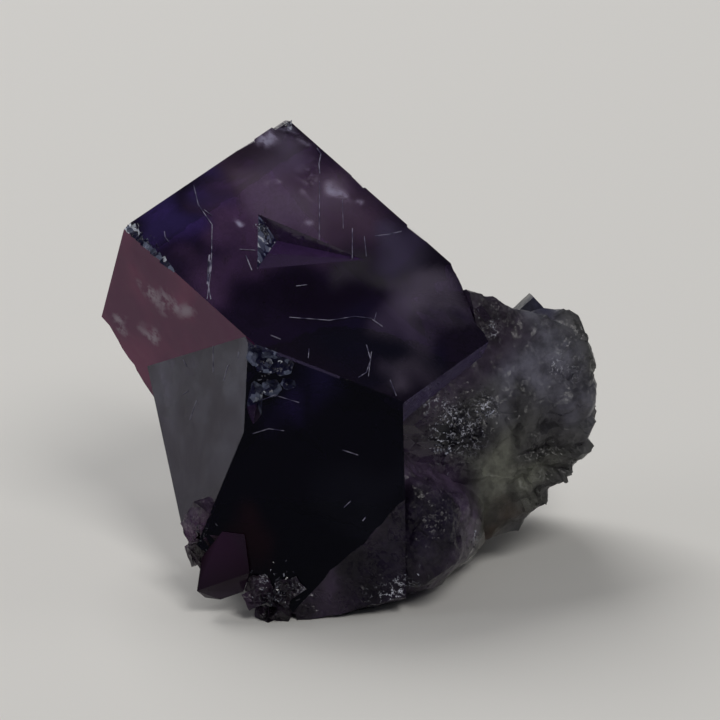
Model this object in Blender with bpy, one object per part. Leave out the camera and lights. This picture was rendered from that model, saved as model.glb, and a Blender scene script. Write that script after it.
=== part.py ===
"""Fluorite specimen: purple cubes grown together on a broken green-grey mass.

The specimen is one grown stone, so it is one solid. It is built as a collector would
describe it: a large main crystal, a second crystal that grew through it, the broken
mass at its right, and the small crystals round them. Lengths here are millimetres,
turned into metres where a mesh is made. The stone stands on its broken base, with
the big face looking up and to the front, and the front is towards -Y.
"""

import math
import random

import bmesh
import bpy
from mathutils import Matrix, Vector, noise

MM = 0.001

# Main crystal, a cube stretched along its ridge. Facings are (azimuth, elevation)
# in degrees, with azimuth 0 to the front and 90 to the right.
MAIN_CORNER = Vector((-5.9, 28.65, 37.7))
MAIN_SIZE = Vector((29.8, 21.15, 19.0))
BIG_FACE = (19.7, 56.4)
LEFT_FACE = (-45.3, -15.7)

# Second crystal, twinned with the main one. Its faces meet near one point on the
# main crystal's lower edge, and the dark face passes the main crystal's front end.
MEETING_ALONG = 15.7
GREY_FACE = (-58.2, 10.8)
DARK_FACE = (-5.3, 15.8)
DARK_ACROSS = 14.9
FLANK_FACE = (-106.7, -26.4)
FLANK_POINT = Vector((-18.1, 16.9, 15.1))
STEP_FACE = (-104.2, 19.4)
STEP_POINT = Vector((-9.5, 3.5, 16.3))
SECOND_RIGHT = 5.0
SECOND_BACK = 20.0
HIDDEN_STEP = 0.12

# Crease across the dark face, below which a broken facet leans to the lower right
CREASE_HIGH = Vector((4.91, 0.64, 10.7))
CREASE_LOW = Vector((-1.36, -0.53, 4.55))
CREASE_LEAN = 12.0

# Broken mass at the right: its middle, and each flat side as (azimuth, elevation,
# distance from the middle).
MASS_MIDDLE = Vector((13.5, 15.5, 13.5))
MASS_SIDES = (
    (29.3, 23.4, 5.4),
    (20.7, -8.2, 6.1),
    (95.4, -2.0, 9.0),
    (163.3, 50.9, 8.5),
    (115.5, 38.8, 10.9),
    (79.2, -42.2, 9.0),
    (0.0, -90.0, 10.9),
    (175.0, 5.0, 10.5),
    (-90.0, 0.0, 11.0),
)

# Rounded lobe below the right end of the dark face
LOBE_MIDDLE = Vector((5.5, 4.5, 6.5))
LOBE_SIDES = (
    (9.1, 16.9, 4.6),
    (-30.0, 10.0, 3.6),
    (73.5, 5.9, 4.9),
    (63.2, -40.5, 5.2),
    (87.6, 53.4, 5.0),
    (10.0, -60.0, 5.6),
    (0.0, -90.0, 6.2),
    (180.0, 0.0, 6.0),
    (-90.0, 0.0, 5.0),
)

# Broken root that the crystals grew on, mostly under and behind them
ROOT_MIDDLE = Vector((-2.0, 17.0, 6.0))
ROOT_SIDES = (
    (-20.0, 0.0, 10.0),
    (40.0, 0.0, 10.0),
    (90.0, 0.0, 9.0),
    (-90.0, 0.0, 10.0),
    (180.0, 5.0, 13.0),
    (150.0, 45.0, 12.0),
    (-140.0, 40.0, 11.0),
    (0.0, 90.0, 9.0),
    (0.0, -90.0, 8.0),
)

# Knob on the shoulder of the broken mass
KNOB_MIDDLE = Vector((19.2, 18.4, 20.3))
KNOB_SIDES = (
    (20.0, 50.0, 1.7),
    (-160.0, -50.0, 1.7),
    (110.0, 15.0, 2.0),
    (-70.0, -15.0, 2.4),
    (10.0, -40.0, 1.7),
    (-170.0, 40.0, 1.7),
)

# Broken surfaces: height of the relief, size of its grain, and spacing of its points
RELIEF = 0.55
GRAIN = 2.2
CELL = 1.15

# How far flakes stand clear of an edge and of the faces beside it
FLAKE_OUTSIDE = 1.2
FLAKE_CLEAR = 0.06


def facing(azimuth, elevation):
    """Direction that looks to an azimuth and elevation."""
    turn, rise = math.radians(azimuth), math.radians(elevation)
    return Vector((math.sin(turn) * math.cos(rise), -math.cos(turn) * math.cos(rise), math.sin(rise)))


def material(name, colour, roughness):
    """Plain glassy mineral."""
    mineral = bpy.data.materials.new(name)
    mineral.use_nodes = True
    mineral.diffuse_color = (*colour, 1.0)
    shader = mineral.node_tree.nodes["Principled BSDF"]
    shader.inputs["Base Color"].default_value = (*colour, 1.0)
    shader.inputs["Roughness"].default_value = roughness
    shader.inputs["Metallic"].default_value = 0.0
    shader.inputs["IOR"].default_value = 1.434
    return mineral


def crystal_frame(corner, face, side):
    """Axes of a cube crystal from its corner, one face and one far side."""
    inward = -facing(*face)
    across = facing(*side)
    across = (across - across.project(inward)).normalized()
    along = across.cross(inward)
    axes = Matrix((along, across, inward)).transposed()
    return Matrix.Translation(corner) @ axes.to_4x4()


def make(name, bm, mineral, tool=True):
    """Turn a mesh in millimetres into an object, as a tool unless it is the stone."""
    bmesh.ops.recalc_face_normals(bm, faces=bm.faces)
    bmesh.ops.scale(bm, vec=(MM, MM, MM), verts=bm.verts)
    mesh = bpy.data.meshes.new(name)
    bm.to_mesh(mesh)
    bm.free()
    mesh.materials.append(mineral)
    piece = bpy.data.objects.new(name, mesh)
    bpy.context.scene.collection.objects.link(piece)
    piece.parent = stand
    if tool:
        piece.hide_render = True
        piece.display_type = "WIRE"
    return piece


def combine(target, operation, tool):
    """Join a tool to the target, or cut it away."""
    step = target.modifiers.new(tool.name, "BOOLEAN")
    step.operation = operation
    step.solver = "EXACT"
    step.material_mode = "TRANSFER"
    step.object = tool


def block(frame, size, start=(0.0, 0.0, 0.0)):
    """Rectangular crystal from a start point in its own axes."""
    bm = bmesh.new()
    bmesh.ops.create_cube(bm, size=1.0)
    bmesh.ops.translate(bm, vec=(0.5, 0.5, 0.5), verts=bm.verts)
    bmesh.ops.scale(bm, vec=size, verts=bm.verts)
    bmesh.ops.translate(bm, vec=start, verts=bm.verts)
    bmesh.ops.transform(bm, matrix=frame, verts=bm.verts)
    return bm


def cleave(bm, point, direction):
    """Cut a crystal flat, taking away what lies past the point in a direction."""
    everything = bm.verts[:] + bm.edges[:] + bm.faces[:]
    cut = bmesh.ops.bisect_plane(
        bm, geom=everything, dist=1e-5, plane_co=point, plane_no=direction, clear_outer=True)
    rim = [part for part in cut["geom_cut"] if isinstance(part, bmesh.types.BMEdge)]
    bmesh.ops.edgeloop_fill(bm, edges=rim)


def rough(point, seed, scale):
    """Broken-stone relief between about -1 and 1 at a point."""
    place = point / scale + Vector((seed * 7.3, seed * 3.1, seed * 1.7))
    bend = 0.35 * noise.noise(place)
    steps = noise.cell(place * 0.8 + Vector((bend, -bend, bend)))
    return 0.65 * noise.fractal(place, 1.0, 2.0, 3) + 0.3 * steps


def reach(ray, sides, roundness=14.0):
    """Distance from a lump's middle to its surface along a ray."""
    pull = 0.0
    for azimuth, elevation, distance in sides:
        lean = ray.dot(facing(azimuth, elevation))
        if lean > 0.0:
            pull += (lean / distance) ** roundness
    return pull ** (-1.0 / roundness)


def lump(middle, sides, detail, relief, seed, ledge=None):
    """Broken lump with flattened sides; a ledge is (facing, height, depth)."""
    bm = bmesh.new()
    bmesh.ops.create_icosphere(bm, subdivisions=detail, radius=1.0)
    for vert in bm.verts:
        ray = vert.co.normalized()
        out = reach(ray, sides)
        out += relief * rough(ray * out, seed, GRAIN)
        if ledge:
            (azimuth, elevation), height, depth = ledge
            up = (ray * out).z + 0.5 * noise.noise(ray * out / 3.0)
            share = max(0.0, ray.dot(facing(azimuth, elevation)) - 0.45) / 0.55
            out -= depth * share * ((-up / height) % 1.0)
        vert.co = middle + ray * out
    return bm


def break_slab(point, direction, width, relief, seed):
    """Slab with a broken underside, which takes away all past the point."""
    bm = bmesh.new()
    cuts = round(width / CELL)
    bmesh.ops.create_grid(bm, x_segments=cuts, y_segments=cuts, size=width / 2)
    for vert in bm.verts:
        vert.co.z = relief * rough(vert.co, seed, GRAIN)
    top = bmesh.ops.extrude_face_region(bm, geom=bm.faces[:], use_keep_orig=True)["geom"]
    raised = [part for part in top if isinstance(part, bmesh.types.BMVert)]
    bmesh.ops.translate(bm, vec=(0.0, 0.0, width / 2), verts=raised)
    turn = direction.to_track_quat("Z", "X").to_matrix().to_4x4()
    bmesh.ops.transform(bm, matrix=Matrix.Translation(point) @ turn, verts=bm.verts)
    return bm


def flat_slab(point, direction, width):
    """Slab with a flat underside, which takes away all past the point."""
    turn = direction.to_track_quat("Z", "X").to_matrix().to_4x4()
    frame = Matrix.Translation(point) @ turn
    return block(frame, (width, width, width), start=(-width / 2, -width / 2, 0.0))


def add_wedge(bm, points):
    """Add a convex splinter through a few points."""
    corners = [bm.verts.new(point) for point in points]
    hull = bmesh.ops.convex_hull(bm, input=corners)
    spare = [part for part in hull["geom_interior"] if isinstance(part, bmesh.types.BMVert)]
    bmesh.ops.delete(bm, geom=spare, context="VERTS")


def add_flake(bm, first, second, sections):
    """Add a flake off the edge of two faces; a section is a point on the edge and
    how far the flake runs onto each face there."""
    line = (sections[-1][0] - sections[0][0]).normalized()
    onto_first = line.cross(first) * (1.0 if line.cross(first).dot(second) < 0.0 else -1.0)
    onto_second = line.cross(second) * (1.0 if line.cross(second).dot(first) < 0.0 else -1.0)
    outside = (first + second).normalized() * FLAKE_OUTSIDE
    rings = []
    for point, on_first, on_second in sections:
        corners = (point + onto_first * on_first + first * FLAKE_CLEAR,
                   point + onto_second * on_second + second * FLAKE_CLEAR, point + outside)
        rings.append([bm.verts.new(corner) for corner in corners])
    bm.faces.new(rings[0])
    bm.faces.new(rings[-1])
    for near, far in zip(rings, rings[1:]):
        for side in range(3):
            after = (side + 1) % 3
            bm.faces.new((near[side], near[after], far[after], far[side]))


def scoop(middle, size, seed):
    """Splintery chip in the dark face's axes: right, up and out."""
    chance = random.Random(seed)
    bm = bmesh.new()
    bmesh.ops.create_icosphere(bm, subdivisions=1, radius=1.0)
    for vert in bm.verts:
        vert.co *= chance.uniform(0.8, 1.2)
    spin = Matrix.Rotation(chance.uniform(0.0, math.pi), 4, "Z")
    bmesh.ops.transform(bm, matrix=spin, verts=bm.verts)
    bmesh.ops.scale(bm, vec=size, verts=bm.verts)
    turn = dark_out.to_track_quat("Z", "Y").to_matrix().to_4x4()
    bmesh.ops.transform(bm, matrix=Matrix.Translation(middle) @ turn, verts=bm.verts)
    return bm


def cubes(name, places, tilt, seed, mineral):
    """Small cubes grown into one another and lined up loosely with the main
    crystal, as one tool; a place is (middle, edge)."""
    chance = random.Random(seed)
    grown = []
    for number, (middle, edge) in enumerate(places):
        spin = Matrix.Rotation(chance.uniform(-tilt, tilt), 4, "X")
        spin = spin @ Matrix.Rotation(chance.uniform(-tilt, tilt), 4, "Y")
        spin = spin @ Matrix.Rotation(chance.uniform(-tilt, tilt), 4, "Z")
        frame = Matrix.Translation(middle) @ main_turn @ spin
        bm = block(frame, (edge, edge, edge), start=(-edge / 2, -edge / 2, -edge / 2))
        grown.append(make(f"{name}_{number}", bm, mineral))
    for other in grown[1:]:
        combine(grown[0], "UNION", other)
    return grown[0]


def scatter(middle, spread, count, edges, seed):
    """Places of small cubes about a middle, with edges between two lengths."""
    chance = random.Random(seed)
    places = []
    for _ in range(count):
        offset = Vector([chance.uniform(-1.0, 1.0) * width for width in spread])
        places.append((Vector(middle) + offset, chance.uniform(*edges)))
    return places


for leftover in list(bpy.data.objects):
    bpy.data.objects.remove(leftover, do_unlink=True)

stand = bpy.data.objects.new("stand_point", None)
bpy.context.scene.collection.objects.link(stand)
purple = material("purple_fluorite", (0.035, 0.022, 0.055), 0.12)
green = material("green_fluorite", (0.055, 0.060, 0.050), 0.35)

main = crystal_frame(MAIN_CORNER, BIG_FACE, LEFT_FACE)
main_turn = main.to_3x3().to_4x4()


def on_main(along, across, inward=0.0):
    """Point given in the main crystal's own axes, from its highest corner."""
    return main @ Vector((along, across, inward))


def main_direction(along, across, inward):
    """Direction given in the main crystal's own axes."""
    return (main.to_3x3() @ Vector((along, across, inward))).normalized()


big_out = facing(*BIG_FACE)
left_out = main_direction(0.0, 1.0, 0.0)
ridge_out = main_direction(-1.0, 0.0, 0.0)
back_out = main_direction(0.0, -1.0, 0.0)
dark_out = facing(*DARK_FACE)

# The main crystal and its two large breaks
specimen = make("fluorite_specimen", block(main, MAIN_SIZE), purple, tool=False)

left_break = break_slab(on_main(0.0, MAIN_SIZE.y, 13.1), main_direction(-0.48, 0.0, 0.877), 46.0, 0.5, 1)
combine(specimen, "DIFFERENCE", make("left_break", left_break, purple))

RIGHT_BREAK = on_main(24.8, 1.7, 9.0)
RIGHT_BREAK_FACE = main_direction(0.416, -0.911, 0.0)
right_break = break_slab(RIGHT_BREAK, RIGHT_BREAK_FACE, 40.0, 0.6, 2)
combine(specimen, "DIFFERENCE", make("right_break", right_break, purple))

# The second crystal, cut by its own faces, and the step at its front
meeting = on_main(MEETING_ALONG, MAIN_SIZE.y)
second = block(Matrix.Translation((-30.0, -10.0, -1.0)), (60.0, 45.0, 45.0))
cleave(second, meeting, facing(*GREY_FACE))
cleave(second, FLANK_POINT, facing(*FLANK_FACE))
cleave(second, Vector((SECOND_RIGHT, 0.0, 0.0)), facing(95.0, 0.0))
cleave(second, Vector((0.0, SECOND_BACK, 0.0)), facing(180.0, 0.0))
cleave(second, on_main(0.0, 0.0, HIDDEN_STEP), big_out)
cleave(second, on_main(HIDDEN_STEP, 0.0, 0.0), ridge_out)
second_crystal = make("second_crystal", second, purple)
front_step = block(Matrix.Translation((-16.0, -5.0, -0.6)), (16.0, 14.0, 16.9))
cleave(front_step, STEP_POINT, facing(*STEP_FACE))
combine(second_crystal, "UNION", make("front_step", front_step, purple))
lower_break = break_slab(Vector((-14.5, 3.0, 6.4)), facing(-70.0, -50.0), 40.0, 0.4, 3)
combine(second_crystal, "DIFFERENCE", make("lower_break", lower_break, purple))
base_break = break_slab(Vector((1.0, -0.9, 1.0)), facing(30.0, -62.0), 24.0, 0.5, 7)
combine(second_crystal, "DIFFERENCE", make("base_break", base_break, purple))
combine(specimen, "UNION", second_crystal)

# The dark face cuts both crystals at once, is broken off slantwise at its lower right
# and is chipped at its upper left corner
dark_point = on_main(MAIN_SIZE.x, DARK_ACROSS)
combine(specimen, "DIFFERENCE", make("dark_face", flat_slab(dark_point, dark_out, 70.0), purple))

slant_out = Matrix.Rotation(math.radians(CREASE_LEAN), 3, CREASE_HIGH - CREASE_LOW) @ dark_out
slant = break_slab(CREASE_HIGH.lerp(CREASE_LOW, 0.5), slant_out, 26.0, 0.12, 9)
combine(specimen, "DIFFERENCE", make("slanted_break", slant, purple))

CHIPS = (
    ((-7.5, 4.7, 22.3), (1.5, 1.2, 1.5)),
    ((-6.0, 4.5, 22.0), (1.1, 1.0, 1.3)),
    ((-8.5, 3.8, 18.7), (0.8, 2.4, 1.3)),
    ((-5.6, 4.1, 20.6), (0.9, 0.6, 1.1)),
    ((-7.1, 4.1, 20.2), (1.3, 1.0, 1.4)),
    ((-8.5, 5.0, 22.9), (0.9, 0.9, 1.2)),
)
for number, (middle, size) in enumerate(CHIPS):
    combine(specimen, "DIFFERENCE", make(f"corner_chip_{number}", scoop(middle, size, number), purple))
strip = bmesh.new()
add_flake(strip, big_out, dark_out, [(on_main(18.8, 20.15), 0.12, 0.75), (on_main(24.2, 17.58), 0.12, 0.75)])
combine(specimen, "DIFFERENCE", make("lower_strip", strip, purple))

# Small breaks in the grown-together crystals: the three-cornered pit in the big face,
# the flakes along its edges, and the stepped edge at its left
pit = bmesh.new()
add_wedge(pit, [on_main(6.3, 10.25, -0.1), on_main(11.0, 15.15, -0.1), on_main(16.7, 5.85, -0.1),
                on_main(9.0, 10.0, 1.5), on_main(11.0, 10.5, -2.0)])
combine(specimen, "DIFFERENCE", make("face_pit", pit, purple))

flakes = bmesh.new()
add_flake(flakes, big_out, ridge_out, [(on_main(0.0, -0.6), 0.6, 0.4), (on_main(0.0, 1.9), 0.5, 0.4)])
add_flake(flakes, big_out, ridge_out, [(on_main(0.0, 4.2), 0.35, 0.3), (on_main(0.0, 6.4), 0.08, 0.1)])
add_flake(flakes, big_out, back_out, [(on_main(8.6, 0.0), 0.1, 0.2), (on_main(10.3, 0.0), 0.3, 0.3)])
add_flake(flakes, big_out, back_out, [(on_main(15.8, 0.0), 0.35, 0.3), (on_main(18.2, 0.0), 0.1, 0.1)])

STAIR_END = 7.4
STAIR_STEP = 0.62
STAIR_RISE = 0.05
stair = []
stair_chance = random.Random(11)
for number in range(int(STAIR_END / STAIR_STEP)):
    along = -0.3 + number * STAIR_STEP
    width = (1.15 - 0.08 * number) * stair_chance.uniform(0.8, 1.25)
    depth = stair_chance.uniform(0.3, 0.6)
    stair.append((on_main(along, MAIN_SIZE.y), width, depth))
    stair.append((on_main(along + STAIR_STEP - STAIR_RISE, MAIN_SIZE.y), 0.6 * width, 0.7 * depth))
add_flake(flakes, big_out, left_out, stair)
combine(specimen, "DIFFERENCE", make("edge_flakes", flakes, purple))

# Broken mass, kept below the main crystal's faces, then the lobe and the root
mass = make("broken_mass", lump(MASS_MIDDLE, MASS_SIDES, 5, RELIEF, 4, ledge=((75.0, -35.0), 2.6, 1.3)), green)
CLEAR_ABOVE = 12.0
clearing = block(main, (MAIN_SIZE.x + 0.5, MAIN_SIZE.y, CLEAR_ABOVE), start=(0.0, 0.0, 1.0 - CLEAR_ABOVE))
cleave(clearing, RIGHT_BREAK, RIGHT_BREAK_FACE)
combine(mass, "DIFFERENCE", make("mass_clearing", clearing, green))
combine(specimen, "UNION", mass)
combine(specimen, "UNION", make("lobe", lump(LOBE_MIDDLE, LOBE_SIDES, 4, RELIEF, 5), purple))
combine(specimen, "UNION", make("root", lump(ROOT_MIDDLE, ROOT_SIDES, 4, RELIEF, 6), green))

# Small crystals
left_crystal = bmesh.new()
add_wedge(left_crystal, [(-13.73, -0.85, 2.63), (-13.30, 0.45, 5.35), (-11.45, 1.0, 7.62), (-9.45, 0.61, 7.52),
                         (-9.0, -0.86, 4.37), (-13.0, -0.04, 1.66), (-11.64, -0.1, 1.49), (-9.55, -0.23, 2.31),
                         (-13.1, 3.09, 4.1), (-10.0, 3.03, 3.93)])
combine(specimen, "UNION", make("left_crystal", left_crystal, purple))
right_cube = crystal_frame(Vector((16.8, 19.2, 23.5)), (6.0, 14.0), (-73.0, -38.0))
combine(specimen, "UNION", make("right_cube", block(right_cube, (3.2, 3.0, 3.0)), purple))

KNOTS = (((-12.9, 3.3, 8.3), 2.2), ((-13.6, 4.2, 6.9), 2.2), ((-11.9, 2.4, 7.0), 1.9),
         ((-12.5, 2.6, 5.4), 2.6), ((-13.4, 3.4, 4.8), 2.0))
combine(specimen, "UNION", cubes("knot", KNOTS, 0.5, 21, purple))
SUGAR_MIDDLE = (-6.9, -0.9, 1.7)
sugar = scatter(SUGAR_MIDDLE, (1.7, 0.5, 1.7), 12, (0.9, 1.7), 26)
combine(specimen, "UNION", cubes("sugar", sugar, 0.8, 23, purple))
BACK_CUBES = (((-6.5, 27.4, 8.6), 4.4), ((-3.2, 28.4, 5.6), 3.4), ((-9.4, 26.2, 5.4), 3.0),
              ((3.4, 27.6, 7.4), 2.8), ((6.4, 26.6, 4.6), 3.6), ((-12.0, 24.0, 3.4), 2.6))
combine(specimen, "UNION", cubes("back", BACK_CUBES, 0.35, 31, purple))
combine(specimen, "UNION", make("knob", lump(KNOB_MIDDLE, KNOB_SIDES, 3, 0.2, 8), green))

# The floor that the broken base stands on
combine(specimen, "DIFFERENCE", make("flat_base", flat_slab(Vector(), Vector((0.0, 0.0, -1.0)), 90.0), purple))

# Stand the stone with the middle of its box over the origin
bpy.context.view_layer.update()
shape = specimen.evaluated_get(bpy.context.evaluated_depsgraph_get())
corners = [specimen.matrix_world @ Vector(corner) for corner in shape.bound_box]
low = Vector([min(corner[axis] for corner in corners) for axis in range(3)])
high = Vector([max(corner[axis] for corner in corners) for axis in range(3)])
stand.location = (-(low.x + high.x) / 2, -(low.y + high.y) / 2, -low.z)
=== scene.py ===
"""Dark purple fluorite grown on broken green-grey stone, as it stands on a table."""

import math
import random

import bmesh
import bpy
from mathutils import Matrix, Vector, noise
from mathutils.bvhtree import BVHTree


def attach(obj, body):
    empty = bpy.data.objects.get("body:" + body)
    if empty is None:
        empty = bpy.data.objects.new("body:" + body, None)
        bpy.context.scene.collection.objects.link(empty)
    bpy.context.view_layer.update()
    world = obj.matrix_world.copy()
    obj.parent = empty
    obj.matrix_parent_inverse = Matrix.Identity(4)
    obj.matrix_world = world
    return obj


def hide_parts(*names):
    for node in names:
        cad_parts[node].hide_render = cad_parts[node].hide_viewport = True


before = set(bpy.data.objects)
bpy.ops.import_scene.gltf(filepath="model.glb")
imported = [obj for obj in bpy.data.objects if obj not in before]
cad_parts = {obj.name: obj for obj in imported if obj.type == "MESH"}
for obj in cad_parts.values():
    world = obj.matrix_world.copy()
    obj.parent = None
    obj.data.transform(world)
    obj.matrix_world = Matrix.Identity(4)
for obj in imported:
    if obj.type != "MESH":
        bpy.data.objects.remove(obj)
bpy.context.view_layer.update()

# ---- Table and light
# A plain pale table under soft studio light: a large soft window behind and to the
# left, a weaker one above the front, and a dark room, which keeps the front face dark.
MM = 0.001
SPECIMEN_MIDDLE = Vector((0.0, 0.0, 0.016))


def facing(azimuth, elevation):
    """Direction that looks to an azimuth, 0 to the front and 90 to the right."""
    turn, rise = math.radians(azimuth), math.radians(elevation)
    level = math.cos(rise)
    return Vector((math.sin(turn) * level, -math.cos(turn) * level, math.sin(rise)))


def soft_light(name, azimuth, elevation, distance, size, power, colour):
    """Square soft light that looks at the specimen's middle."""
    lamp = bpy.data.lights.new(name, "AREA")
    lamp.size = size
    lamp.energy = power
    lamp.color = colour
    holder = bpy.data.objects.new(name, lamp)
    bpy.context.scene.collection.objects.link(holder)
    toward = facing(azimuth, elevation)
    holder.location = toward * distance + SPECIMEN_MIDDLE
    holder.rotation_euler = toward.to_track_quat("Z", "Y").to_euler()


def put_down(name, shape):
    """Object in the scene, with a finished bmesh as its mesh."""
    data = bpy.data.meshes.new(name)
    shape.to_mesh(data)
    shape.free()
    piece = bpy.data.objects.new(name, data)
    bpy.context.scene.collection.objects.link(piece)
    return piece


def new_material(name):
    """Material with its node tree and its Principled shader."""
    material = bpy.data.materials.new(name)
    material.use_nodes = True
    return material, material.node_tree, material.node_tree.nodes["Principled BSDF"]


def feed(tree, socket, value):
    """Link an output to a socket, or set a number or a colour on it."""
    if isinstance(value, bpy.types.NodeSocket):
        tree.links.new(value, socket)
    elif isinstance(value, (int, float)):
        socket.default_value = value
    else:
        socket.default_value = (*value, 1.0)


def mix_colour(tree, factor, first, second):
    """Blend of two colours."""
    mix = tree.nodes.new("ShaderNodeMix")
    mix.data_type = "RGBA"
    feed(tree, mix.inputs["Factor"], factor)
    feed(tree, mix.inputs["A"], first)
    feed(tree, mix.inputs["B"], second)
    return mix.outputs["Result"]


TABLE_HALF = 1.6
table_mesh = bmesh.new()
bmesh.ops.create_grid(table_mesh, x_segments=1, y_segments=1, size=TABLE_HALF)
table = put_down("table_top", table_mesh)

table_paint, paint_tree, paint = new_material("pale_table")
paint.inputs["Roughness"].default_value = 0.85
paint.inputs["Specular IOR Level"].default_value = 0.1
speckle = paint_tree.nodes.new("ShaderNodeTexNoise")
speckle.inputs["Scale"].default_value = 4.0
feed(paint_tree, paint.inputs["Base Color"],
     mix_colour(paint_tree, speckle.outputs["Fac"], (0.70, 0.693, 0.668), (0.74, 0.733, 0.708)))
table.data.materials.append(table_paint)

world = bpy.data.worlds.new("room")
world.use_nodes = True
room = world.node_tree.nodes["Background"]
room.inputs["Color"].default_value = (0.84, 0.88, 1.0, 1.0)
room.inputs["Strength"].default_value = 0.085
bpy.context.scene.world = world

# Azimuth, elevation, distance, size, power and colour of each light
soft_light("window", -150.0, 44.0, 1.25, 0.9, 10.6, (1.0, 0.985, 0.97))
soft_light("ceiling", 28.0, 50.0, 1.2, 0.45, 4.8, (1.0, 0.98, 0.95))
soft_light("left_wall", -84.0, 22.0, 1.2, 0.5, 1.7, (0.98, 0.98, 1.0))
soft_light("right_wall", 100.0, 30.0, 1.2, 0.5, 1.0, (1.0, 0.97, 0.93))

bpy.context.scene.view_settings.view_transform = "Standard"

# The camera looks a little down on the front, from far off, as a close picture of a
# small thing does. SIGHT is the point in the middle of the picture.
SIGHT = Vector((1.03, 5.89, 16.20))
SIGHT_AHEAD = 9.6
CAMERA_DISTANCE = 600.0
PICTURE_WIDTH = 65.45
view_from = facing(0.0, 20.0)
lens = bpy.data.cameras.new("camera")
lens.sensor_width = 36.0
lens.lens = 36.0 * CAMERA_DISTANCE / PICTURE_WIDTH
lens.clip_start = 0.01
camera = bpy.data.objects.new("camera", lens)
bpy.context.scene.collection.objects.link(camera)
camera.location = (SIGHT + view_from * (SIGHT_AHEAD + CAMERA_DISTANCE)) * MM
camera.rotation_euler = view_from.to_track_quat("Z", "Y").to_euler()
bpy.context.scene.camera = camera

# ---- The stone
# One grown stone of clear dark fluorite: cubes with flat glassy faces, grown into one
# another and into a broken green-grey mass. Its edges are worn, and its broken
# surfaces are splintery. The shape is the part's own, and lengths here are in mm.

# Main crystal: its highest corner, its lengths along, across and behind the big face
MAIN_CORNER = Vector((-5.777, 12.075, 37.7))
MAIN_SIZE = Vector((29.8, 21.15, 19.0))
# Where the large faces look
BIG_FACE = facing(19.7, 56.4)
LEFT_FACE = facing(-45.3, -15.7)
GREY_FACE = facing(-58.2, 10.8)
DARK_FACE = facing(-5.3, 15.8)
# Middles of the rounded lobe, the chips at the dark face's corner, the knot of cubes
# above the small crystal and the sugary cubes at the foot
LOBE_MIDDLE = Vector((5.62, -12.08, 6.5))
CHIP_MIDDLE = Vector((-6.7, -11.9, 21.3))
KNOT_MIDDLE = (-12.8, -13.4, 6.6)
FOOT_MIDDLE = (-6.8, -17.5, 1.7)
SMALL_CRYSTALS = ((KNOT_MIDDLE, 3.2), (FOOT_MIDDLE, 3.2), ((17.0, 3.4, 23.0), 3.4))
# The most broken places: middle, radius, how broken
ROUGH_PLACES = (
    ((9.7, -9.0, 14.8), 5.0, 1.0), ((18.0, -3.5, 8.5), 6.0, 0.5), ((-5.5, -17.5, 2.2), 4.5, 1.0),
    ((13.0, -2.5, 24.0), 3.5, 0.35), ((3.0, -17.0, 1.5), 4.0, 0.6), ((20.5, 0.0, 18.0), 4.0, 0.45),
    (KNOT_MIDDLE, 3.6, 1.7), ((7.0, -11.5, 12.5), 3.0, 0.7), ((8.0, -14.0, 8.0), 5.0, 0.6),
    (FOOT_MIDDLE, 3.2, 1.6))

# Its axes in the big face, and the way that the pit's left side looks
across_axis = (LEFT_FACE - LEFT_FACE.project(BIG_FACE)).normalized()
along_axis = across_axis.cross(-BIG_FACE)
PIT_SIDE = (along_axis - across_axis).normalized()


def on_big(along, across, depth=0.0):
    """Point on the big face, in mm from its highest corner."""
    return MAIN_CORNER + along_axis * along + across_axis * across - BIG_FACE * depth


def in_main(point):
    """How far a point lies outside the main crystal's cube, in mm."""
    local = point - MAIN_CORNER
    place = Vector((local.dot(along_axis), local.dot(across_axis), -local.dot(BIG_FACE)))
    return max(max(-place[axis], place[axis] - MAIN_SIZE[axis]) for axis in range(3))


def between(value, low, high):
    """Nothing at low, one at high."""
    return min(1.0, max(0.0, (value - low) / (high - low)))


def greenness(point):
    """How much the stone is the broken green-grey mass at a point."""
    if point.x < -8.5 and point.z < 13.0 and point.y < 6.0:
        return 0.0
    share = between(in_main(point), 0.1, 2.2)
    if point.y < -6.0:
        share *= between((point - LOBE_MIDDLE).length, 6.3, 8.2) * between(point.x, 5.0, 8.0)
    return share


def nearness(point, middle, radius):
    """One at a middle, falling softly to nothing at a radius."""
    share = between((point - Vector(middle)).length, radius, 0.15 * radius)
    return share * share * (3.0 - 2.0 * share)


def drift(point):
    """Point moved a little, each place its own way, for uneven outlines."""
    place = point * 0.3
    shifts = [noise.noise(place + Vector((start, 0.0, 0.0))) for start in (0.0, 31.0, 67.0)]
    return point + 2.6 * Vector(shifts)


def blend(first, second, share):
    """Colour between two."""
    return tuple(one + (other - one) * share for one, other in zip(first, second))


def painted(point, ground, spots):
    """Colour at a point, from a ground colour and (middle, radius, colour, strength) spots."""
    place = drift(point)
    for middle, radius, colour, strength in spots:
        ground = blend(ground, colour, strength * nearness(place, middle, radius))
    return ground


def roughness_at(point):
    """How broken the surface is at a point: little, but for a few places."""
    near = [strength * (1.0 - between((point - Vector(middle)).length, 0.5 * radius, radius))
            for middle, radius, strength in ROUGH_PLACES]
    return 0.16 + 0.84 * max(near)


def splinter(point, size):
    """Height of small flat splinters that each lean their own way."""
    place = point / size
    seed = noise.voronoi(place)[1][0]
    lean = noise.cell_vector(seed * 5.3) - Vector((0.5, 0.5, 0.5))
    return (place - seed).dot(lean) * size


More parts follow.
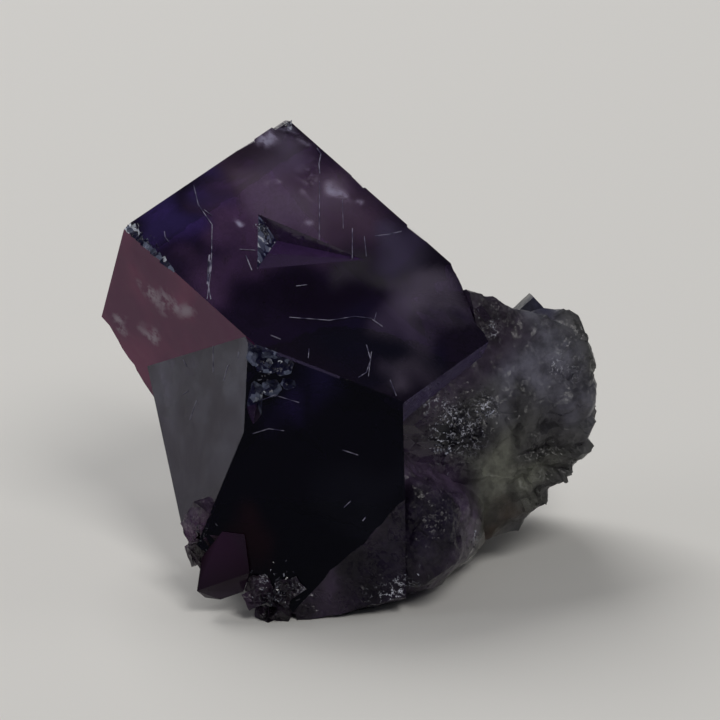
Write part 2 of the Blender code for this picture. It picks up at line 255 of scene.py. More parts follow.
# Colour zones of the big face, partly the fluorite's own colour zoning and partly painted
# light: the pale mauve near the thin highest corner is painted light shining through, and
# the paler and darker patches on its lower half are painted reflections and shade inside
# the crystal. A colour, and for each zone its place along and across the face, its radius
# and its strength
BIG_TONES_AND_LIGHT = (
    ((0.42, 0.26, 0.42), ((6.0, 7.0, 9.5, 0.9), (11.5, 4.0, 7.0, 0.8))),
    ((0.32, 0.17, 0.36), ((4.9, 12.6, 4.6, 0.9), (8.9, 19.6, 4.2, 0.8), (9.2, 15.4, 4.0, 0.5))),
    ((0.16, 0.10, 0.50), ((1.4, 17.2, 4.6, 1.0), (0.6, 10.5, 3.6, 0.8), (1.2, 20.2, 2.6, 0.9),
                          (3.0, 5.0, 2.2, 0.4))),
    ((0.50, 0.40, 0.62), ((0.9, 3.0, 3.6, 0.9), (2.6, 2.4, 3.0, 0.8))),
    ((0.62, 0.48, 0.66), ((6.2, 7.4, 4.4, 0.7), (9.2, 7.0, 4.0, 0.8), (9.0, 3.4, 3.6, 0.7),
                          (3.8, 5.6, 3.4, 0.5))),
    ((0.30, 0.25, 0.44), ((17.5, 2.6, 4.6, 0.9), (15.1, 2.6, 3.2, 0.8))),
    ((0.20, 0.19, 0.20), ((17.3, 7.7, 2.6, 0.9), (19.2, 5.8, 2.8, 0.9))),
    ((0.56, 0.46, 0.68), ((22.6, 4.7, 4.4, 0.9), (23.6, 8.6, 3.4, 0.6), (26.0, 11.0, 3.0, 0.4),
                          (28.2, 13.0, 3.0, 0.6))),
    ((0.02, 0.015, 0.06), ((27.2, 9.2, 2.6, 0.9), (25.0, 4.0, 1.6, 0.7), (21.6, 14.0, 6.0, 1.0),
                           (25.0, 12.8, 3.8, 1.0))),
    ((0.012, 0.002, 0.02), ((15.0, 13.4, 5.6, 1.0), (13.0, 18.0, 4.0, 0.8), (17.5, 10.5, 3.6, 0.9))),
)
# The pit's lighter purple is a painted sheen
PIT_SHEEN = (0.12, 0.07, 0.17)
BIG_GROUND = (0.035, 0.018, 0.06)
DARK_GROUND = (0.008, 0.006, 0.022)
PURPLE_GROUND = (0.11, 0.075, 0.14)
GREEN_GROUND = (0.090, 0.091, 0.089)
big_tones_and_light = [(on_big(along, across), radius, colour, strength)
             for colour, places in BIG_TONES_AND_LIGHT for along, across, radius, strength in places]

# Zones of the dark face: right and up from its start, radius, colour. The two indigo
# zones near its top are a painted glow of light through the crystal, and the bluish-grey
# one low on its right is a painted sheen.
DARK_TONES_AND_LIGHT = (
    (-7.5, 1.8, 3.4, (0.045, 0.03, 0.16)), (-11.0, -1.0, 2.8, (0.05, 0.03, 0.17)),
    (-13.8, -12.0, 3.6, (0.05, 0.014, 0.03)), (-3.0, -8.0, 5.0, (0.025, 0.025, 0.05)))
UPWARD = Vector((0.0, 0.0, 1.0))
GREY_START = on_big(15.7, MAIN_SIZE.y)
DARK_START = on_big(29.8, 14.9)
dark_right = UPWARD.cross(DARK_FACE).normalized()
dark_up = DARK_FACE.cross(dark_right)
dark_tones_and_light = [(DARK_START + dark_right * right + dark_up * up, radius, colour, 1.0)
              for right, up, radius, colour in DARK_TONES_AND_LIGHT]

# Zones of the other purple faces, and of the broken mass: middle, radius, colour, strength.
# The near-black tones on the two lower front lobes are a painted dark reflection.
purple_tones_and_dark_reflection = (
    ((-11.3, -16.4, 4.5), 9.5, (0.006, 0.001, 0.003), 1.0),
    ((2.5, -17.0, 4.0), 11.0, (0.008, 0.005, 0.014), 1.0),
    ((7.5, -15.0, 8.0), 9.0, (0.010, 0.007, 0.018), 1.0),
    ((-6.8, -17.5, 2.0), 3.5, (0.050, 0.030, 0.060), 1.0),
    ((8.0, -16.0, 6.0), 2.4, (0.04, 0.032, 0.055), 1.0),
    (KNOT_MIDDLE, 3.4, (0.085, 0.035, 0.095), 1.0))
green_spots = (
    ((16.5, -2.6, 19.8), 9.0, (0.17, 0.17, 0.22), 1.0), ((14.7, -6.5, 9.0), 6.0, (0.23, 0.24, 0.19), 1.0),
    ((13.0, -6.3, 4.0), 4.5, (0.06, 0.045, 0.03), 1.0), ((21.5, -2.8, 15.5), 5.0, (0.12, 0.12, 0.15), 1.0),
    ((12.4, -4.0, 22.5), 2.6, (0.42, 0.35, 0.42), 1.0), ((17.0, -4.0, 14.0), 4.2, (0.05, 0.05, 0.05), 1.0),
    ((11.9, -5.6, 19.9), 3.0, (0.04, 0.04, 0.055), 1.0), ((13.0, -3.4, 23.6), 3.2, (0.34, 0.34, 0.38), 1.0),
    ((17.0, 2.4, 22.8), 4.0, (0.04, 0.04, 0.07), 1.0), ((9.6, -9.0, 14.9), 5.2, (0.010, 0.009, 0.018), 1.0),
    ((6.5, -10.6, 12.0), 1.8, (0.16, 0.09, 0.10), 1.0), ((8.0, -11.0, 8.0), 4.0, (0.015, 0.010, 0.025), 1.0))

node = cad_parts["fluorite_specimen"]
stone = bmesh.new()
stone.from_mesh(node.data)
bmesh.ops.scale(stone, vec=(1000.0, 1000.0, 1000.0), verts=stone.verts)
bmesh.ops.remove_doubles(stone, verts=stone.verts, dist=0.002)
bmesh.ops.dissolve_limit(stone, angle_limit=math.radians(0.5), verts=stone.verts, edges=stone.edges)

# Marks on every face. crystal_faces: big, left, grey and dark face. stone_parts: how
# clear and smooth it is, how green-grey, the lavender band (a painted highlight along the
# crystal's lower edge), and how chipped.
FLAT_AREA = 0.9
CHIP_EDGE = 3.0
DULL_PLACE = Vector((3.0, -17.0, 4.0))
EDGE_STRIP = on_big(21.5, 18.9)
PIT_MIDDLE = on_big(11.3, 10.4)
LARGE_FACES = ((BIG_FACE, MAIN_CORNER), (LEFT_FACE, on_big(0.0, MAIN_SIZE.y)),
               (GREY_FACE, GREY_START), (DARK_FACE, DARK_START))
kinds = stone.loops.layers.float_color.new("crystal_faces")
parts = stone.loops.layers.float_color.new("stone_parts")
flats = stone.faces.layers.int.new("flat_face")
for face in stone.faces:
    middle = face.calc_center_median()
    large = face.calc_area() > FLAT_AREA
    kind = [0.0, 0.0, 0.0, 0.0]
    for slot, (outward, point) in enumerate(LARGE_FACES):
        level = abs((middle - point).dot(outward)) < 0.15
        if face.normal.dot(outward) > 0.999 and level and large:
            kind[slot] = 1.0
    depth = (MAIN_CORNER - middle).dot(BIG_FACE)
    in_pit = 0.05 < depth < 2.0 and (middle - PIT_MIDDLE).length < 5.6
    if in_pit:
        kind[0] = 1.0
    on_crystal = any((middle - Vector(place)).length < radius for place, radius in SMALL_CRYSTALS)
    is_flat = in_pit or max(kind) > 0.0 or (large and not on_crystal)

    along = (middle - MAIN_CORNER).dot(along_axis)
    stair = along < 8.0 and (middle - on_big(along, MAIN_SIZE.y)).length < 1.3
    small = max(edge.calc_length() for edge in face.edges) < CHIP_EDGE
    if in_pit:
        chip = 0.8 if face.normal.dot(PIT_SIDE) > 0.3 else 0.1
    elif small and (stair or (middle - CHIP_MIDDLE).length < 3.2):
        chip = 1.0
    else:
        chip = 0.0
    face[flats] = 1 if is_flat or chip == 1.0 else 0

    # The lavender band is a painted highlight on the narrow faces at the big face's lower edge
    highlight_band = 1.0 if is_flat and face.normal.dot(along_axis) > 0.99 and middle.x > 5.0 else 0.0
    near_strip = (middle - EDGE_STRIP).length < 2.0 and face.normal.dot(BIG_FACE + DARK_FACE) > 1.6
    if max(kind) == 0.0 and near_strip:
        highlight_band = 0.7
    if is_flat and max(kind) == 0.0 and highlight_band == 0.0 and (middle - DULL_PLACE).length < 8.0:
        clearness = 0.3
    else:
        clearness = 1.0 if is_flat and chip < 1.0 else 0.0
    for loop in face.loops:
        loop[kinds] = kind
        loop[parts] = (clearness, 0.0, highlight_band, chip)

# Worn edges between the flat faces
EDGE_WEAR = 0.05
LEAST_WORN_LENGTH = 1.2
LEAST_WORN_ANGLE = math.radians(20.0)
worn = [edge for edge in stone.edges if all(face[flats] for face in edge.link_faces)
        and edge.calc_length() > LEAST_WORN_LENGTH and edge.calc_face_angle(0.0) > LEAST_WORN_ANGLE]
wear = bmesh.ops.bevel(stone, geom=worn, offset=EDGE_WEAR, offset_type="OFFSET", segments=1,
                       profile=0.5, affect="EDGES", material=-1, clamp_overlap=True)
for face in wear["faces"]:
    face[flats] = 1

# The big face and the dark face in small squares, which carry their colour zones
SQUARE = 0.6
for slot, axes in ((0, (along_axis, across_axis)), (3, (dark_right, dark_up))):
    faces = [face for face in stone.faces if face[flats] and face.loops[0][kinds][slot] > 0.5]
    geometry = list({vert for face in faces for vert in face.verts})
    geometry += list({edge for face in faces for edge in face.edges}) + faces
    for axis in axes:
        reaches = [vert.co.dot(axis) for face in faces if face.is_valid for vert in face.verts]
        lowest, cuts = min(reaches), int((max(reaches) - min(reaches)) / SQUARE)
        for step in range(1, cuts + 1):
            geometry = bmesh.ops.bisect_plane(stone, geom=geometry, dist=1e-5, plane_no=axis,
                                              plane_co=axis * (lowest + step * SQUARE))["geom"]

# Broken surfaces in small splinters
GRAIN_CUTS = 3
broken_edges = list({edge for face in stone.faces if not face[flats] for edge in face.edges})
bmesh.ops.subdivide_edges(stone, edges=broken_edges, cuts=GRAIN_CUTS, use_grid_fill=True)
stone.normal_update()

# Colour of every corner, with the strength of its small broken relief as the fourth value
tints = stone.loops.layers.float_color.new("stone_tone")
for face in stone.faces:
    for loop in face.loops:
        point = loop.vert.co
        kind, part = loop[kinds], loop[parts]
        green = 0.0 if max(kind) > 0.0 or part[2] > 0.0 else greenness(point)
        if 0.0 < part[3] < 0.5:
            tint = PIT_SHEEN
        elif kind[0] > 0.5:
            tint = painted(point, BIG_GROUND, big_tones_and_light)
        elif kind[3] > 0.5:
            tint = painted(point, DARK_GROUND, dark_tones_and_light)
        else:
            tint = painted(point, PURPLE_GROUND, purple_tones_and_dark_reflection)
            if green > 0.0:
                tint = blend(tint, painted(point, GREEN_GROUND, green_spots), green)
        if part[0] < 0.2:
            bumps = roughness_at(point)
        else:
            bumps = 0.6 if part[0] < 0.5 else 0.0
        loop[tints] = (*tint, bumps)
        loop[parts] = (part[0], green, part[2], part[3])

# Splinters stand up from the broken surfaces, apart from the foot: height and size of
# each kind, and of the larger ones on the broken mass
SPLINTERS = ((0.30, 1.7), (0.30, 0.8))
MASS_HEIGHT, MASS_SPLINTER = 0.55, 4.2
FOOT_HEIGHT = 0.05
fixed = {vert for face in stone.faces if face[flats] for vert in face.verts}
moves = {}
for vert in stone.verts:
    point = vert.co
    if vert in fixed or point.z < FOOT_HEIGHT:
        continue
    height = sum(tall * splinter(point, size) for tall, size in SPLINTERS)
    height += MASS_HEIGHT * greenness(point) * splinter(point, MASS_SPLINTER)
    moves[vert] = vert.normal * (height * roughness_at(point) + 0.02 * noise.noise(point / 0.5))
for vert, move in moves.items():
    vert.co += move
stone.normal_update()
for face in stone.faces:
    face.smooth = not face[flats]
SHARP_ANGLE = math.radians(38.0)
for edge in stone.edges:
    edge.smooth = edge.calc_face_angle(0.0) < SHARP_ANGLE
surface = BVHTree.FromBMesh(stone)
bmesh.ops.scale(stone, vec=(MM, MM, MM), verts=stone.verts)
grown_stone = put_down("grown_stone", stone)

FLUORITE_IOR = 1.434
fluorite, tree, glass = new_material("dark_fluorite")
glass.inputs["IOR"].default_value = FLUORITE_IOR
glass.inputs["Specular IOR Level"].default_value = 0.25
absorb = tree.nodes.new("ShaderNodeVolumeAbsorption")
absorb.inputs["Color"].default_value = (0.50, 0.36, 0.62, 1.0)
absorb.inputs["Density"].default_value = 260.0
tree.links.new(absorb.outputs["Volume"], tree.nodes["Material Output"].inputs["Volume"])


def object_place(tree):
    """Place in the object's own metres."""
    return tree.nodes.new("ShaderNodeTexCoord").outputs["Object"]


def attribute(tree, name):
    """The three channels and the fourth of a painted attribute."""
    painting = tree.nodes.new("ShaderNodeAttribute")
    painting.attribute_name = name
    split = tree.nodes.new("ShaderNodeSeparateColor")
    tree.links.new(painting.outputs["Color"], split.inputs["Color"])
    return (*split.outputs[:3], painting.outputs["Alpha"])


def maths(tree, kind, *values):
    """Result of a Math node."""
    step = tree.nodes.new("ShaderNodeMath")
    step.operation = kind
    for socket, value in zip(step.inputs, values):
        feed(tree, socket, value)
    return step.outputs["Value"]


def highest(tree, *values):
    """Greatest of several numbers."""
    result = values[0]
    for value in values[1:]:
        result = maths(tree, "MAXIMUM", result, value)
    return result


def vectors(tree, kind, *values):
    """Result of a Vector Math node, a vector or a number."""
    step = tree.nodes.new("ShaderNodeVectorMath")
    step.operation = kind
    for socket, value in zip(step.inputs, values):
        if isinstance(value, bpy.types.NodeSocket):
            tree.links.new(value, socket)
        else:
            socket.default_value = value
    return step.outputs["Value" if kind in ("DISTANCE", "DOT_PRODUCT", "LENGTH") else "Vector"]


def scaled(tree, vector, factor):
    """A vector times a number."""
    step = tree.nodes.new("ShaderNodeVectorMath")
    step.operation = "SCALE"
    tree.links.new(vector, step.inputs[0])
    feed(tree, step.inputs["Scale"], factor)
    return step.outputs["Vector"]


def grain(tree, where, scale, detail=2.0, roughness=0.5, output="Fac"):
    """Noise, scale being its grains to the mm."""
    cloud = tree.nodes.new("ShaderNodeTexNoise")
    cloud.inputs["Scale"].default_value = scale * 1000.0
    cloud.inputs["Detail"].default_value = detail
    cloud.inputs["Roughness"].default_value = roughness
    tree.links.new(where, cloud.inputs["Vector"])
    return cloud.outputs[output]


def ramp(tree, value, low, high, start=0.0, end=1.0):
    """Smooth change from start at low to end at high."""
    span = tree.nodes.new("ShaderNodeMapRange")
    span.interpolation_type = "SMOOTHSTEP"
    tree.links.new(value, span.inputs["Value"])
    span.inputs["From Min"].default_value = low
    span.inputs["From Max"].default_value = high
    span.inputs["To Min"].default_value = start
    span.inputs["To Max"].default_value = end
    return span.outputs["Result"]


def spot(tree, where, middle, radius):
    """One at a point, falling softly to nothing at a radius; lengths in mm."""
    distance = vectors(tree, "DISTANCE", where, tuple(Vector(middle) * MM))
    return ramp(tree, distance, 0.15 * radius * MM, radius * MM, 1.0, 0.0)


def any_spot(tree, where, places):
    """One in the middle of any of the (middle, radius) places, nothing away from them."""
    return highest(tree, *[spot(tree, where, middle, radius) for middle, radius in places])


def aside(tree, where, scale, detail, roughness):
    """Noise vector about zero, each place its own way."""
    cloud = grain(tree, where, scale, detail, roughness, "Color")
    return vectors(tree, "SUBTRACT", cloud, (0.5, 0.5, 0.5))


def facets(tree, where, scale):
    """Height of small flat facets that each lean their own way."""
    cell = tree.nodes.new("ShaderNodeTexVoronoi")
    cell.inputs["Scale"].default_value = scale * 1000.0
    tree.links.new(where, cell.inputs["Vector"])
    off = vectors(tree, "SUBTRACT", where, cell.outputs["Position"])
    lean = vectors(tree, "SUBTRACT", cell.outputs["Color"], (0.5, 0.5, 0.5))
    return vectors(tree, "DOT_PRODUCT", off, lean)


where = object_place(tree)
big, left, grey, dark = attribute(tree, "crystal_faces")
clear, green, highlight_band, chip = attribute(tree, "stone_parts")

tone_paint = tree.nodes.new("ShaderNodeAttribute")
tone_paint.attribute_name = "stone_tone"
tone = tone_paint.outputs["Color"]
broken = tone_paint.outputs["Alpha"]
drifted = vectors(tree, "ADD", where, scaled(tree, aside(tree, where, 0.28, 1.0, 0.5), 5.0 * MM))

# The painted tone, mottled where the surface is broken, and whitish veils under the big
# face: place along and across it, radius
VEILS = ((2.5, 1.1, 1.1), (5.5, 3.1, 1.5), (8.9, 2.3, 1.6), (10.4, 1.2, 1.0), (0.65, 3.3, 1.9),
         (4.7, 7.4, 1.0), (5.9, 11.3, 1.0), (9.2, 8.0, 1.1), (7.6, 4.9, 1.0), (1.6, 1.2, 1.8))
veil = any_spot(tree, drifted, [(on_big(along, across), radius) for along, across, radius in VEILS])
veil = maths(tree, "MULTIPLY", veil, ramp(tree, grain(tree, where, 0.8, 3.0, 0.6), 0.36, 0.68))
veil = maths(tree, "MULTIPLY", veil, big)
mottle = ramp(tree, grain(tree, where, 0.5, 4.0, 0.6), 0.32, 0.68)
uneven = mix_colour(tree, mottle, scaled(tree, tone, 0.55), scaled(tree, tone, 1.5))
stone_colour = mix_colour(tree, clear, uneven, tone)
stone_colour = mix_colour(tree, veil, stone_colour, (0.46, 0.44, 0.62))

# Rosy left face, its rosy tint partly the fluorite's own colour and partly a painted
# reddish reflection, with pale smears: place along and inward from its edge, radius
SMEARS = ((4.2, 5.0, 1.6), (5.8, 4.7, 1.9), (7.3, 3.9, 1.8), (8.8, 3.6, 1.7), (2.2, 11.4, 1.6),
          (3.1, 12.4, 1.7), (5.5, 9.6, 1.2))
patches = ramp(tree, grain(tree, where, 0.18), 0.35, 0.65)
rosy_and_reflection = mix_colour(tree, patches, (0.10, 0.012, 0.065), (0.16, 0.025, 0.085))
smear = any_spot(tree, drifted, [(on_big(along, MAIN_SIZE.y, inward), radius)
                                 for along, inward, radius in SMEARS])
smear = maths(tree, "MULTIPLY", smear, ramp(tree, grain(tree, where, 0.9, 3.0, 0.65), 0.38, 0.58))
smear = maths(tree, "MULTIPLY", smear, left)
rosy_and_reflection = mix_colour(tree, smear, rosy_and_reflection, (0.30, 0.23, 0.29))
stone_colour = mix_colour(tree, left, stone_colour, rosy_and_reflection)

# Grey face, a hazy surface whose grey is partly a painted sheen, lighter towards its top,
# and the lavender band, a painted highlight
haze_and_sheen_mask = ramp(tree, grain(tree, where, 0.25, 3.0, 0.6), 0.35, 0.7)
height = vectors(tree, "DOT_PRODUCT", where, (0.0, 0.0, 1.0))
haze_and_sheen_mask = maths(tree, "MULTIPLY", haze_and_sheen_mask, ramp(tree, height, 4.0 * MM, 22.0 * MM))
haze_and_sheen = mix_colour(tree, haze_and_sheen_mask, (0.04, 0.03, 0.07), (0.15, 0.15, 0.22))
stone_colour = mix_colour(tree, grey, stone_colour, haze_and_sheen)
stone_colour = mix_colour(tree, highlight_band, stone_colour, (0.30, 0.24, 0.52))

# Icy little facets in the chips, a few of them painted bright as glints
torn = aside(tree, where, 1.1, 2.0, 0.6)
shards = tree.nodes.new("ShaderNodeTexVoronoi")
shards.inputs["Scale"].default_value = 1700.0
tree.links.new(vectors(tree, "ADD", where, scaled(tree, torn, 1.1 * MM)), shards.inputs["Vector"])
shard = vectors(tree, "DOT_PRODUCT", shards.outputs["Color"], (1.0, 0.0, 0.0))
icy_and_glints = mix_colour(tree, ramp(tree, shard, 0.88, 0.94), (0.20, 0.23, 0.34), (0.85, 0.90, 1.0))
icy_and_glints = mix_colour(tree, ramp(tree, shard, 0.40, 0.85), (0.015, 0.015, 0.05), icy_and_glints)
stone_colour = mix_colour(tree, ramp(tree, chip, 0.4, 0.7), stone_colour, icy_and_glints)

# Thin bright strokes of tiny flakes, painted glints, most of them where the stone is freshly broken
SPARKS = (((9.7, -9.0, 14.8), 4.6), ((8.3, -9.2, 17.0), 2.0), ((12.8, -7.2, 16.4), 2.2),
          ((11.4, -9.8, 4.6), 2.0), ((-6.0, -17.6, 2.4), 3.2), ((4.0, -17.0, 1.6), 3.0),
          ((12.6, -3.2, 22.6), 1.8), ((20.0, -2.4, 19.0), 2.2))
not_clear = maths(tree, "SUBTRACT", 1.0, clear)
glint_places = maths(tree, "MULTIPLY", not_clear, any_spot(tree, drifted, SPARKS))
stroke = maths(tree, "ABSOLUTE", maths(tree, "SUBTRACT", grain(tree, where, 1.3, 3.0, 0.65), 0.5))
stroke = ramp(tree, stroke, 0.010, 0.032, 1.0, 0.0)
stroke = maths(tree, "MULTIPLY", stroke, ramp(tree, grain(tree, where, 2.1), 0.44, 0.56))
stroke = maths(tree, "MULTIPLY", stroke, glint_places)
stone_colour = mix_colour(tree, stroke, stone_colour, (0.80, 0.82, 0.95))
feed(tree, glass.inputs["Base Color"], stone_colour)

# How cloudy the stone is: the rest of the light goes through it
MURKY_PLACES = (((-11.3, -16.4, 4.5), 7.5), ((17.0, 3.4, 23.0), 5.0), (KNOT_MIDDLE, 4.5),
                ((3.0, -17.0, 4.0), 10.0), ((8.0, -14.0, 8.0), 9.0))
CLEAREST = 0.86
murky = maths(tree, "MULTIPLY", maths(tree, "SUBTRACT", 1.0, highest(tree, dark, grey)),
              any_spot(tree, where, MURKY_PLACES))
cloudy = highest(tree,
                 maths(tree, "MULTIPLY", chip, 0.55),
                 maths(tree, "MULTIPLY", green, 0.36),
                 maths(tree, "MULTIPLY", maths(tree, "ADD", veil, smear), 0.5),
                 maths(tree, "MULTIPLY", stroke, 0.6),
                 maths(tree, "MULTIPLY_ADD", left, 0.6, maths(tree, "MULTIPLY", grey, 0.3)),
                 maths(tree, "MULTIPLY", murky, 0.8))
feed(tree, glass.inputs["Transmission Weight"], maths(tree, "SUBTRACT", CLEAREST, cloudy))
feed(tree, glass.inputs["Roughness"],
     maths(tree, "ADD", maths(tree, "MULTIPLY_ADD", clear, -0.26, 0.32), maths(tree, "MULTIPLY", grey, 0.12)))

# Small relief: facets on the broken surfaces and in the chips, and a ripple all over
relief = tree.nodes.new("ShaderNodeBump")
relief.inputs["Distance"].default_value = 1.0
facet_height = maths(tree, "ADD", facets(tree, where, 2.2), facets(tree, where, 5.0))
fine = maths(tree, "MULTIPLY", not_clear, facet_height)
ripple = maths(tree, "MULTIPLY", grain(tree, where, 0.5, 3.0, 0.5), 0.05 * MM)
strength = highest(tree, maths(tree, "MULTIPLY", chip, 0.8), broken)
strength = maths(tree, "MULTIPLY_ADD", strength, 0.75, 0.02)
feed(tree, relief.inputs["Height"], maths(tree, "ADD", maths(tree, "MULTIPLY", fine, strength), ripple))
tree.links.new(relief.outputs["Normal"], glass.inputs["Normal"])
grown_stone.data.materials.append(fluorite)
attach(grown_stone, "root")
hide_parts("fluorite_specimen")

# ---- Cracks and scratches
# Cleavage cracks inside the fluorite that come up to its faces, and scratches on them.
# Each is a thin frosty blade of the same mineral, its top edge just proud of the face.
BLADE_DEPTH = 0.25
PROUD = 0.03
# On the big face: width, then points along and across it
BLADES = (
    (0.07, ((0.41, 12.66), (2.3, 13.94), (4.71, 14.56), (8.16, 18.12), (10.5, 21.0))),
    (0.16, ((7.0, 17.25), (7.5, 17.85), (9.3, 19.8))),
    (0.30, ((7.4, 17.7), (8.0, 18.4), (8.5, 18.95))),
    (0.09, ((9.3, 19.7), (10.73, 20.77))),
    (0.04, ((7.19, 2.91), (12.01, 7.87))),
    (0.03, ((9.95, 2.69), (12.42, 5.1))),
    (0.06, ((12.93, 4.43), (15.34, 6.92))),
    (0.05, ((14.26, 4.21), (15.98, 5.71))),
    (0.05, ((14.88, 3.39), (15.58, 2.11), (16.02, 0.98))),
    (0.05, ((16.62, 16.48), (19.14, 13.76), (20.25, 11.58), (21.38, 10.48))),
    (0.06, ((21.46, 10.56), (22.59, 10.4))),
    (0.05, ((21.12, 9.69), (21.57, 10.42))),
    (0.07, ((23.12, 13.08), (24.56, 14.02), (25.29, 15.31), (25.24, 16.32))),
    (0.05, ((23.97, 13.29), (25.73, 15.49))),
    (0.08, ((4.29, 0.31), (5.0, 0.51), (5.69, 1.49), (6.55, 2.24))),
    (0.05, ((2.59, 18.62), (3.13, 19.05), (3.76, 19.16))),
    (0.06, ((3.04, 13.91), (3.98, 13.82))),
    (0.05, ((8.31, 14.55), (9.3, 13.45))),
    (0.09, ((9.13, 14.61), (10.68, 15.4))),
    (0.06, ((20.2, 17.6), (20.9, 18.4))),
    (0.06, ((14.5, 13.4), (15.0, 12.5))),
    (0.05, ((17.0, 19.3), (17.9, 18.9))),
)
crack_mesh = bmesh.new()


def add_blade(points, width, outward):
    """Closed blade whose top edge follows points, going straight into the stone."""
    corners = [bmesh.ops.create_vert(crack_mesh, co=point)["vert"][0] for point in points]
    edges = []
    for first, second in zip(corners, corners[1:]):
        edges += bmesh.ops.contextual_create(crack_mesh, geom=[first, second])["edges"]
    spread = bmesh.ops.extrude_edge_only(crack_mesh, edges=edges)["geom"]
    lower = [part for part in spread if isinstance(part, bmesh.types.BMVert)]
    bmesh.ops.translate(crack_mesh, vec=-outward * BLADE_DEPTH, verts=lower)
    sheet = [part for part in spread if isinstance(part, bmesh.types.BMFace)]
    bmesh.ops.solidify(crack_mesh, geom=sheet, thickness=width)


for width, stroke in BLADES:
    points = [on_big(along, across, -PROUD) for along, across in stroke]
    add_blade(points, width, BIG_FACE)

# On the grey face and on the dark face: width, then points right and up from its start
SCRATCHES = (
    (GREY_FACE, GREY_START, (
        (0.05, ((-5.1, -2.35), (-4.39, -4.7))), (0.06, ((-9.6, -5.14), (-8.79, -5.56))),
        (0.04, ((-2.44, -4.9), (-2.1, -3.3))), (0.05, ((-8.7, -8.2), (-7.9, -7.6))),
        (0.04, ((-6.9, -10.0), (-6.3, -8.0))), (0.05, ((-0.8, -1.7), (-0.75, -2.3))))),
    (DARK_FACE, DARK_START, (
        # The first, widest mark on the dark face is a painted glint
        (0.10, ((-3.47, -10.86), (-3.2, -10.5))), (0.06, ((-5.46, -4.54), (-4.08, -4.95))),
        (0.05, ((-13.62, -3.34), (-12.17, -2.84), (-10.79, -2.98))), (0.08, ((-5.2, -9.7), (-4.6, -9.1))),
        (0.05, ((-1.4, 1.9), (-0.8, 0.5))), (0.05, ((-12.9, -0.3), (-11.7, 0.2), (-9.5, -0.4))))),
)
for outward, start, strokes in SCRATCHES:
    right = UPWARD.cross(outward).normalized()
    up = outward.cross(right)
    for width, stroke in strokes:
        points = [start + right * over + up * rise + outward * PROUD for over, rise in stroke]
        add_blade(points, width, outward)
bmesh.ops.recalc_face_normals(crack_mesh, faces=crack_mesh.faces)
bmesh.ops.scale(crack_mesh, vec=(MM, MM, MM), verts=crack_mesh.verts)
cracks = put_down("cleavage_cracks", crack_mesh)

frosty, frost_tree, frost = new_material("frosty_cleavage")
patchy = ramp(frost_tree, grain(frost_tree, object_place(frost_tree), 1.6), 0.35, 0.65)
feed(frost_tree, frost.inputs["Base Color"],
     mix_colour(frost_tree, patchy, (0.03, 0.025, 0.07), (0.27, 0.26, 0.35)))
frost.inputs["Roughness"].default_value = 0.4
frost.inputs["IOR"].default_value = FLUORITE_IOR
cracks.data.materials.append(frosty)
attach(cracks, "root")

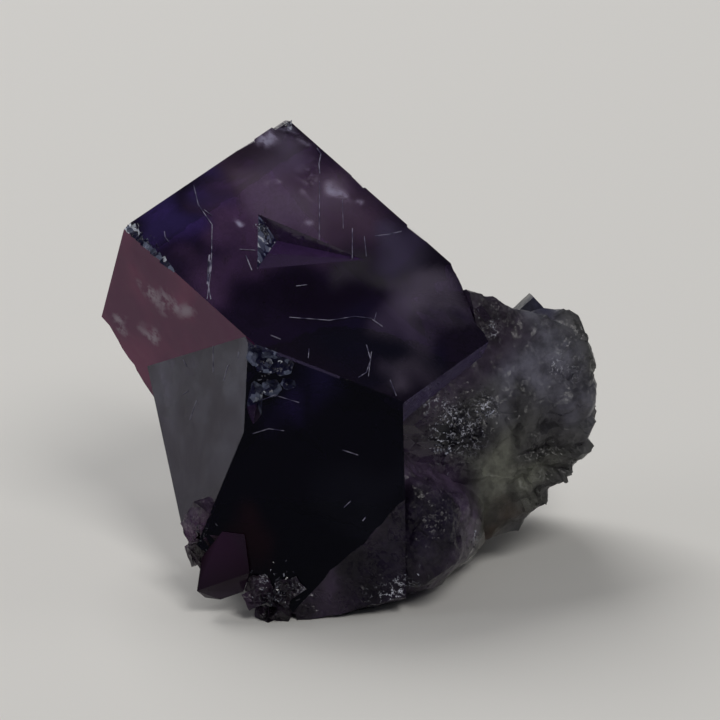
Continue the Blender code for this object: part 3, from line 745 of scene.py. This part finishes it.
# ---- Sugary grains
# Tiny slivers of fluorite on the broken surfaces and in the chips, whose glitter is painted:
# the bright ones have a pale colour. They
# grew there or broke off there, so each sits half sunk in the surface under it.
LOWEST_GRAIN = 0.3
GRAIN_SPOTS = (
    # middle, radius, outward, how many, shortest and longest edge, share of bright ones (painted glints)
    ((9.9, -9.0, 14.9), 3.0, facing(22, 12), 300, (0.03, 0.12), 0.3),
    ((8.6, -9.2, 13.6), 0.9, facing(24, 9), 60, (0.05, 0.16), 0.7),
    ((12.8, -7.2, 16.4), 1.2, facing(29, 12), 40, (0.04, 0.14), 0.5),
    ((-6.3, -17.6, 2.6), 2.2, facing(-10, 30), 200, (0.03, 0.13), 0.35),
    ((-7.4, -11.3, 21.6), 1.2, facing(0, 50), 30, (0.05, 0.16), 0.5),
    ((12.6, -3.0, 22.8), 1.4, facing(26, 30), 24, (0.03, 0.10), 0.3),
    ((6.0, -15.6, 3.0), 3.0, facing(5, 10), 60, (0.03, 0.11), 0.3),
    ((11.4, -9.8, 4.6), 1.6, facing(30, 0), 30, (0.03, 0.10), 0.4),
    ((-12.8, -13.2, 6.6), 1.8, facing(-20, 20), 40, (0.04, 0.16), 0.1),
    (tuple(on_big(8.0, 10.9)), 0.9, BIG_FACE, 150, (0.03, 0.12), 0.5),
    (tuple(on_big(1.0, 20.7)), 1.2, BIG_FACE, 50, (0.03, 0.12), 0.4),
    (tuple(on_big(4.0, 21.0)), 1.2, BIG_FACE, 24, (0.03, 0.10), 0.4),
    (tuple(on_big(0.6, 0.4)), 0.7, BIG_FACE, 24, (0.05, 0.18), 0.8),
)
grain_mesh = bmesh.new()
tones = grain_mesh.loops.layers.float_color.new("grain_tone")
chance = random.Random(5)
for middle, radius, outward, count, (shortest, longest), bright in GRAIN_SPOTS:
    for _ in range(count):
        shift = Vector([chance.gauss(0.0, 0.45) for _ in range(3)]) * radius
        start = Vector(middle) + shift - shift.project(outward) + outward * 6.0
        place = surface.ray_cast(start, -outward, 12.0)[0]
        if place is None or place.z < LOWEST_GRAIN or noise.noise(place / 0.9) < -0.12:
            continue
        edge = chance.uniform(shortest, longest)
        angle = chance.uniform(0.0, math.tau)
        pole = Vector([chance.gauss(0.0, 1.0) for _ in range(3)]).normalized()
        sides = (edge, edge * chance.uniform(0.3, 0.8), edge * chance.uniform(1.0, 3.6), 1.0)
        shape = Matrix.Translation(place) @ Matrix.Rotation(angle, 4, pole) @ Matrix.Diagonal(sides)
        made = bmesh.ops.create_cube(grain_mesh, size=1.0, matrix=shape)["verts"]
        tone_value = chance.random() ** 1.6 if chance.random() < bright else 0.1 * chance.random()
        for face in {face for vert in made for face in vert.link_faces}:
            for loop in face.loops:
                loop[tones] = (tone_value, tone_value, tone_value, 1.0)
bmesh.ops.scale(grain_mesh, vec=(MM, MM, MM), verts=grain_mesh.verts)
grains = put_down("sugary_grains", grain_mesh)

sugary, sugar_tree, sugar = new_material("sugary_fluorite")
uneven_glint = ramp(sugar_tree, grain(sugar_tree, object_place(sugar_tree), 3.0), 0.3, 0.7, 0.6, 1.0)
sparkle = maths(sugar_tree, "MULTIPLY", attribute(sugar_tree, "grain_tone")[0], uneven_glint)
feed(sugar_tree, sugar.inputs["Base Color"],
     mix_colour(sugar_tree, sparkle, (0.02, 0.018, 0.028), (0.60, 0.63, 0.76)))
sugar.inputs["Roughness"].default_value = 0.12
sugar.inputs["IOR"].default_value = FLUORITE_IOR
grains.data.materials.append(sugary)
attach(grains, "root")
